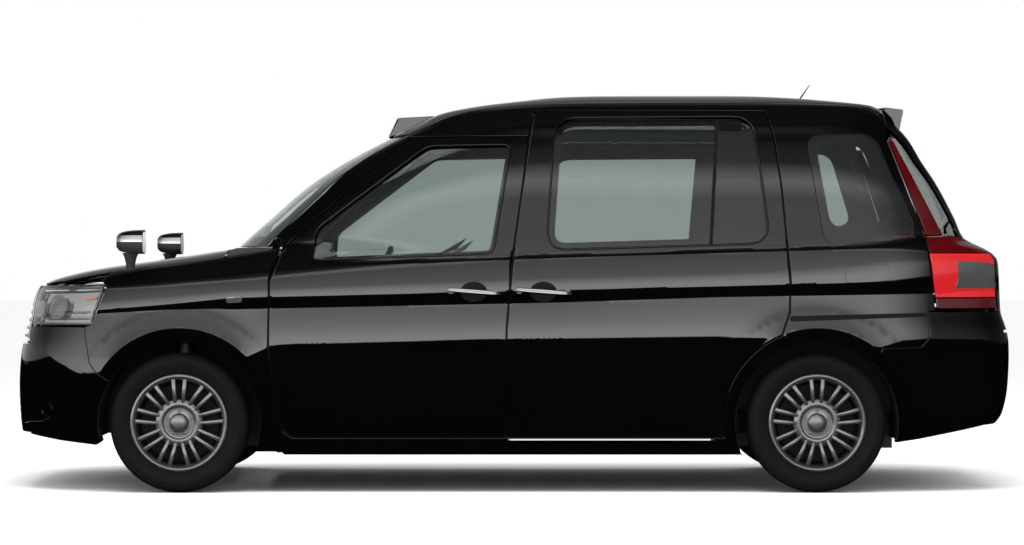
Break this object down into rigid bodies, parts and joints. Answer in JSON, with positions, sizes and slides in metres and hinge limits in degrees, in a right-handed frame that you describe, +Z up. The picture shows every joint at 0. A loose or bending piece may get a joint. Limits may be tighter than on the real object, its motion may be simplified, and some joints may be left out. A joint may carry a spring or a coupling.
{
  "type": "taxi cab",
  "caption": "Tall-bodied taxi cab on rolling and steering wheels, with opening hood, tailgate and hinged doors and a sliding door on its left side.",
  "frame": {"origin": "on the floor, under the middle of the vehicle's length and width", "axes": "+X to the rear, +Y to the vehicle's right, +Z up"},
  "size_m": [4.404, 1.72, 1.805],
  "materials": {
    "black_paint": "gloss clear coat",
    "tinted_glass": "tinted",
    "tyre_rubber": "matte",
    "silver_paint": "satin silver",
    "underbody_paint": "matte",
    "dark_steel": "dull",
    "cast_metal": "rough",
    "black_plastic": "grained",
    "clear_lens": "clear lens over bright reflectors",
    "red_lens": "clear red lens",
    "white_plastic": "translucent",
    "chrome_trim": "polished",
    "seat_cover": "woven"
  },
  "bodies": {
    "body": {"floor_pan": "underbody_paint", "body_side_left": "black_paint", "body_side_right": "black_paint", "roof_panel": "black_paint", "cowl_panel": "black_plastic", "front_fenders": "black_paint", "grille": "black_plastic", "front_bumper": "black_paint", "rear_bumper": "black_paint", "windshield": "tinted_glass", "sliding_door_left": "black_paint", "sliding_door_glass": "tinted_glass", "quarter_glasses": "tinted_glass", "headlamps": "clear_lens", "tail_lamps": "red_lens", "fender_mirrors": "chrome_trim", "roof_sign": "white_plastic", "antenna": "black_plastic", "engine_block": "cast_metal", "front_suspension": "dark_steel", "rear_axle": "dark_steel", "exhaust": "dark_steel", "dashboard": "black_plastic", "steering_wheel": "black_plastic", "front_seats": "seat_cover", "rear_bench": "seat_cover"},
    "hood": {"hood": "black_paint"},
    "front_door_left": {"front_door_left": "black_paint", "front_door_glass_left": "tinted_glass"},
    "front_door_right": {"front_door_right": "black_paint", "front_door_glass_right": "tinted_glass"},
    "rear_door_right": {"rear_door_right": "black_paint", "rear_door_glass_right": "tinted_glass"},
    "tailgate": {"tailgate": "black_paint", "tailgate_glass": "tinted_glass", "rear_spoiler": "black_paint"},
    "knuckle_left": {"front_knuckle_left": "dark_steel"},
    "knuckle_right": {"front_knuckle_right": "dark_steel"},
    "front_wheel_left": {"tyre_front_left": "tyre_rubber", "wheel_front_left": "silver_paint"},
    "front_wheel_right": {"tyre_front_right": "tyre_rubber", "wheel_front_right": "silver_paint"},
    "rear_wheel_left": {"tyre_rear_left": "tyre_rubber", "wheel_rear_left": "silver_paint"},
    "rear_wheel_right": {"tyre_rear_right": "tyre_rubber", "wheel_rear_right": "silver_paint"}
  },
  "joints": [
    {"name": "hood_hinge", "type": "hinge", "parent": "body", "child": "hood", "pos_m": [-1.247, 0, 1.058], "axis": [0, 1, 0], "range_deg": [0, 50]},
    {"name": "front_door_left_hinge", "type": "hinge", "parent": "body", "child": "front_door_left", "pos_m": [-1.05, -0.8435, 0.6], "axis": [0, 0, -1], "range_deg": [0, 66]},
    {"name": "front_door_right_hinge", "type": "hinge", "parent": "body", "child": "front_door_right", "pos_m": [-1.05, 0.8435, 0.6], "axis": [0, 0, 1], "range_deg": [0, 66]},
    {"name": "rear_door_right_hinge", "type": "hinge", "parent": "body", "child": "rear_door_right", "pos_m": [-0.027, 0.848, 0.6], "axis": [0, 0, 1], "range_deg": [0, 68]},
    {"name": "tailgate_hinge", "type": "hinge", "parent": "body", "child": "tailgate", "pos_m": [1.637, 0, 1.702], "axis": [0, -1, 0], "range_deg": [0, 80]},
    {"name": "steer_left", "type": "hinge", "parent": "body", "child": "knuckle_left", "pos_m": [-1.435, -0.68, 0.301], "axis": [0, 0, 1], "range_deg": [-36, 36]},
    {"name": "steer_right", "type": "hinge", "parent": "body", "child": "knuckle_right", "pos_m": [-1.435, 0.68, 0.301], "axis": [0, 0, 1], "range_deg": [-36, 36]},
    {"name": "front_wheel_left_spin", "type": "hinge", "parent": "knuckle_left", "child": "front_wheel_left", "pos_m": [-1.435, -0.74, 0.301], "axis": [0, 1, 0], "continuous": true},
    {"name": "front_wheel_right_spin", "type": "hinge", "parent": "knuckle_right", "child": "front_wheel_right", "pos_m": [-1.435, 0.74, 0.301], "axis": [0, 1, 0], "continuous": true},
    {"name": "rear_wheel_left_spin", "type": "hinge", "parent": "body", "child": "rear_wheel_left", "pos_m": [1.315, -0.74, 0.301], "axis": [0, 1, 0], "continuous": true},
    {"name": "rear_wheel_right_spin", "type": "hinge", "parent": "body", "child": "rear_wheel_right", "pos_m": [1.315, 0.74, 0.301], "axis": [0, 1, 0], "continuous": true}
  ],
  "couplings": [
    {"joint": "steer_right", "follows": "steer_left", "ratio": 1}
  ]
}
